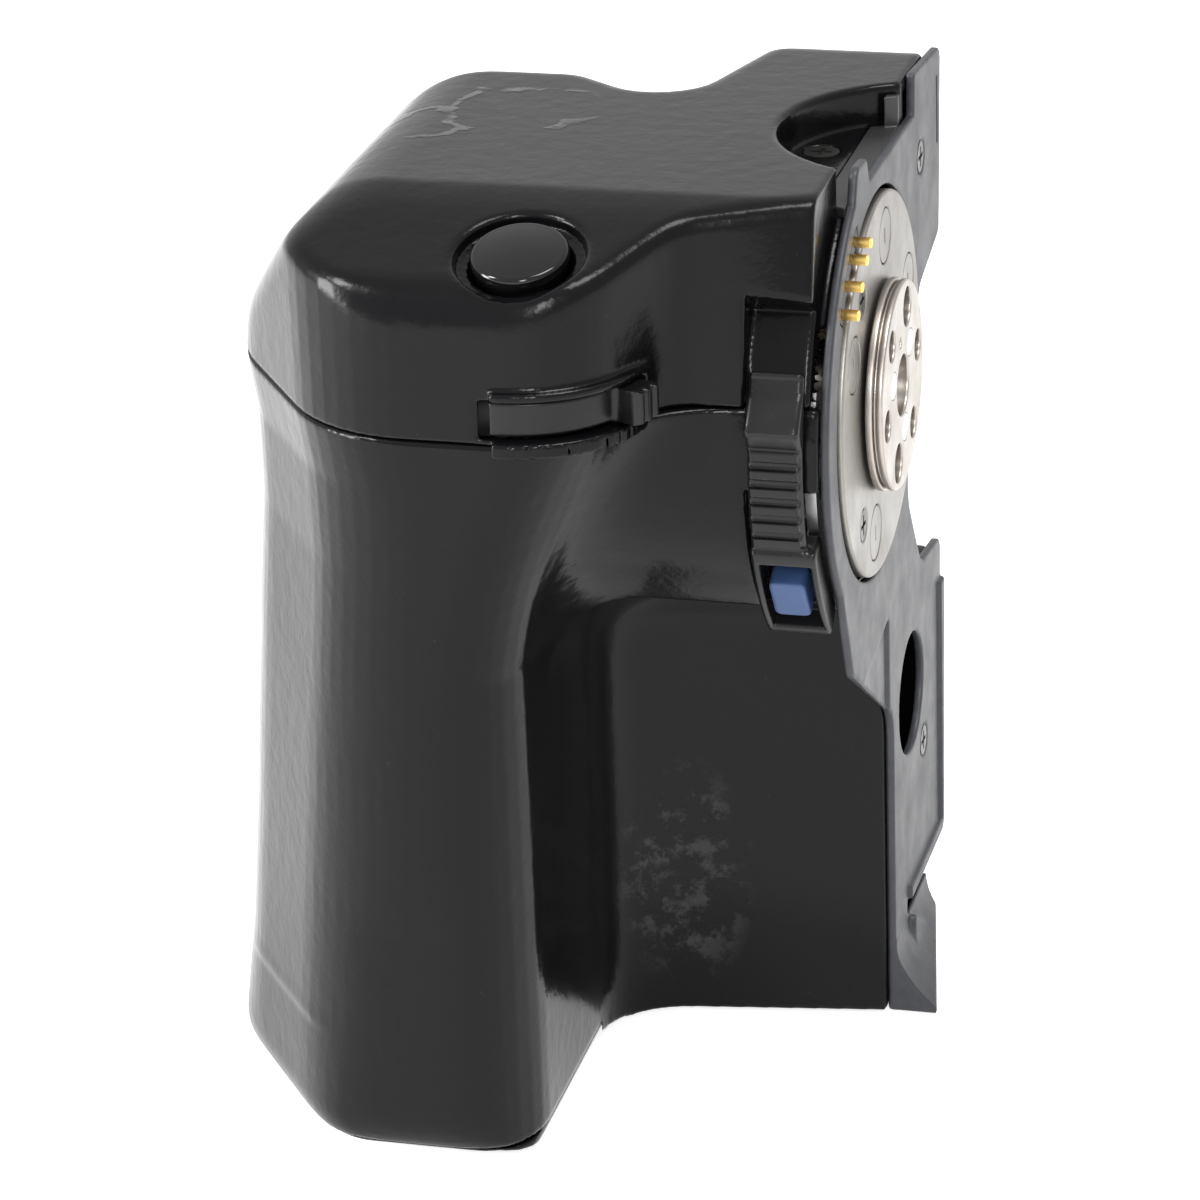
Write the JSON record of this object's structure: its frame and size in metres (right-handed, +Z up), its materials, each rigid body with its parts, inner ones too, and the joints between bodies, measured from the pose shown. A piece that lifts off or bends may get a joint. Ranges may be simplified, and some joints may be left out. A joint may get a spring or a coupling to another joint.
{
  "type": "power winder grip",
  "caption": "Hand grip with built-in motor winder that bolts to a camera's side, with release button, mode lever, lock lever, sprung contacts and a geared drive coupling.",
  "frame": {"origin": "on the drive coupling's axis, in the plane of the mount plate's outer face", "axes": "+X along the coupling axis into the camera, -Y towards the camera's front, +Z up"},
  "size_m": [0.0774, 0.0792, 0.108],
  "materials": {
    "black_moulding": "fine orange-peel moulded polycarbonate, semi-matt black",
    "button_black": "glossy black",
    "lever_black": "satin black moulding",
    "black_inner": "plain black inner moulding",
    "insert_black": "black painted inner casting",
    "plate_grey": "dark grey painted casting with a slight blue tint",
    "disc_nickel": "bead-blasted nickel-plated steel",
    "hub_nickel": "turned nickel-plated steel",
    "rivet_steel": "bright riveted ends",
    "zinc_steel": "bright zinc-plated steel",
    "black_steel": "blackened steel",
    "spring_steel": "bright spring steel",
    "gold_contact": "gold-plated contact",
    "key_blue": "dull blue moulding",
    "frame_alloy": "pressed aluminium",
    "bearing_brass": "sintered bronze",
    "gear_brass": "cut brass",
    "gear_nylon": "natural nylon",
    "motor_zinc": "zinc-plated motor can",
    "board_green": "green solder mask",
    "tray_black": "plain black moulding",
    "cell_jacket": "plain grey cell jacket"
  },
  "bodies": {
    "grip": {"upper_housing": "black_moulding", "grip_shell": "black_moulding", "cover_hinge_pin": "zinc_steel", "shell_screws": "zinc_steel", "button_collar": "black_inner", "button_spring": "spring_steel", "release_switch": "black_inner", "mode_pivot": "zinc_steel", "mode_switch_board": "board_green", "mount_plate": "plate_grey", "plate_screws": "black_steel", "mount_disc": "disc_nickel", "disc_studs": "disc_nickel", "disc_screws": "black_steel", "contact_block": "black_inner", "recess_insert": "insert_black", "recess_screw": "black_steel", "front_frame": "frame_alloy", "rear_frame": "frame_alloy", "frame_posts": "zinc_steel", "shaft_bushes": "bearing_brass", "idler_pin": "zinc_steel", "motor": "motor_zinc", "circuit_board": "board_green", "board_parts": "black_inner", "board_posts": "black_inner", "battery_tray": "tray_black", "battery_cells": "cell_jacket", "battery_contacts": "spring_steel", "battery_shelf": "black_inner"},
    "release_button": {"release_button": "button_black"},
    "mode_lever": {"mode_lever": "lever_black"},
    "lock_lever": {"lock_lever": "lever_black", "lock_ring": "spring_steel", "lock_button_spring": "spring_steel"},
    "lock_button": {"lock_button": "key_blue"},
    "coupling": {"coupling_hub": "hub_nickel", "hub_rivets": "rivet_steel", "hub_gear": "gear_brass"},
    "idler": {"idler_gear": "gear_nylon"},
    "pinion": {"motor_pinion": "gear_brass"},
    "pin_1": {"contact_pin_1": "gold_contact"},
    "pin_2": {"contact_pin_2": "gold_contact"},
    "pin_3": {"contact_pin_3": "gold_contact"},
    "pin_4": {"contact_pin_4": "gold_contact"},
    "cover": {"battery_cover": "black_moulding"}
  },
  "joints": [
    {"name": "coupling_spin", "type": "hinge", "parent": "grip", "child": "coupling", "pos_m": [0, 0, 0], "axis": [1, 0, 0], "continuous": true},
    {"name": "idler_spin", "type": "hinge", "parent": "grip", "child": "idler", "pos_m": [-0.0112, -0.01145, 0.01145], "axis": [1, 0, 0], "continuous": true},
    {"name": "pinion_spin", "type": "hinge", "parent": "grip", "child": "pinion", "pos_m": [-0.0125, -0.01349, -0.00098], "axis": [1, 0, 0], "continuous": true},
    {"name": "release_press", "type": "slide", "parent": "grip", "child": "release_button", "axis": [0, 0.298, -0.9546], "range_m": [0, 0.0015], "stiffness_N_per_m": 900, "springref_m": -0.0008, "deforming": ["button_spring"]},
    {"name": "mode_turn", "type": "hinge", "parent": "grip", "child": "mode_lever", "pos_m": [-0.031, -0.029, 0.009], "axis": [0, 0, -1], "range_deg": [0, 36]},
    {"name": "lock_swing", "type": "hinge", "parent": "grip", "child": "lock_lever", "pos_m": [-0.005, 0, 0], "axis": [-1, 0, 0], "range_deg": [0, 12.5]},
    {"name": "lock_press", "type": "slide", "parent": "lock_lever", "child": "lock_button", "axis": [0, 0.829, 0.5592], "range_m": [0, 0.001], "stiffness_N_per_m": 600, "springref_m": -0.0006, "deforming": ["lock_button_spring"]},
    {"name": "cover_swing", "type": "hinge", "parent": "grip", "child": "cover", "pos_m": [-0.0495, 0.0161, -0.0775], "axis": [1, 0, 0], "range_deg": [0, 100]},
    {"name": "pin_1_press", "type": "slide", "parent": "grip", "child": "pin_1", "axis": [-1, 0, 0], "range_m": [0, 0.0012], "stiffness_N_per_m": 300, "springref_m": -0.0008},
    {"name": "pin_2_press", "type": "slide", "parent": "grip", "child": "pin_2", "axis": [-1, 0, 0], "range_m": [0, 0.0012], "stiffness_N_per_m": 300, "springref_m": -0.0008},
    {"name": "pin_3_press", "type": "slide", "parent": "grip", "child": "pin_3", "axis": [-1, 0, 0], "range_m": [0, 0.0012], "stiffness_N_per_m": 300, "springref_m": -0.0008},
    {"name": "pin_4_press", "type": "slide", "parent": "grip", "child": "pin_4", "axis": [-1, 0, 0], "range_m": [0, 0.0012], "stiffness_N_per_m": 300, "springref_m": -0.0008}
  ],
  "couplings": [
    {"joint": "idler_spin", "follows": "coupling_spin", "ratio": -2.8571},
    {"joint": "pinion_spin", "follows": "coupling_spin", "ratio": 7.1429}
  ]
}
